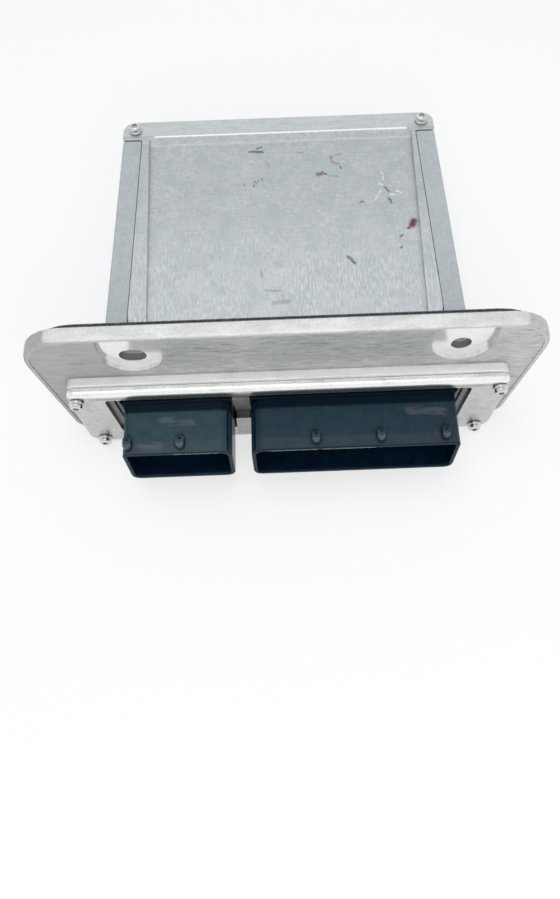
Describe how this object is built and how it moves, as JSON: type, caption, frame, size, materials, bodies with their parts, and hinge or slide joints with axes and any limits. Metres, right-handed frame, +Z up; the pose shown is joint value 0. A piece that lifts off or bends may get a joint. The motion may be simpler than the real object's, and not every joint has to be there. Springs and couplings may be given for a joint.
{
  "type": "engine control unit",
  "caption": "Cast aluminium engine control unit with a wide bulkhead flange, a screwed lid and a black two-way connector header on the front.",
  "frame": {"origin": "middle of the unit's outline, on the plane that its ribs and flange stand on", "axes": "+X along the flange to the side of the wide connector, +Y from the connector mouths to the rear of the box, +Z up from the ribs to the lid"},
  "size_m": [0.2552, 0.2116, 0.0916],
  "materials": {
    "cast_aluminium": "bare casting, machined spot faces",
    "screw_steel": "zinc plated",
    "header_plastic": "satin black",
    "seal_rubber": "matt black",
    "board_laminate": "solder resist",
    "chip_resin": "moulded resin",
    "can_metal": "drawn can",
    "gap_pad": "soft filled pad"
  },
  "bodies": {
    "root": {"housing": "cast_aluminium", "lid": "cast_aluminium", "connector_frame": "cast_aluminium", "lid_gasket": "seal_rubber", "flange_seal": "seal_rubber", "header_seal": "seal_rubber", "connector_header": "header_plastic", "pin_block_small": "header_plastic", "pin_block_large": "header_plastic", "frame_screw_upper_left": "screw_steel", "frame_screw_upper_right": "screw_steel", "frame_screw_lower_left": "screw_steel", "frame_screw_lower_right": "screw_steel", "lid_screw_left": "screw_steel", "lid_screw_right": "screw_steel", "board_screw_1": "screw_steel", "board_screw_2": "screw_steel", "board_screw_3": "screw_steel", "board_screw_4": "screw_steel", "circuit_board": "board_laminate", "microcontroller": "chip_resin", "flash_memory": "chip_resin", "injector_driver": "chip_resin", "ignition_driver": "chip_resin", "throttle_driver": "chip_resin", "supply_regulator": "chip_resin", "choke": "chip_resin", "clock_crystal": "can_metal", "capacitor_1": "can_metal", "capacitor_2": "can_metal", "capacitor_3": "can_metal", "thermal_pad": "gap_pad"}
  },
  "joints": []
}
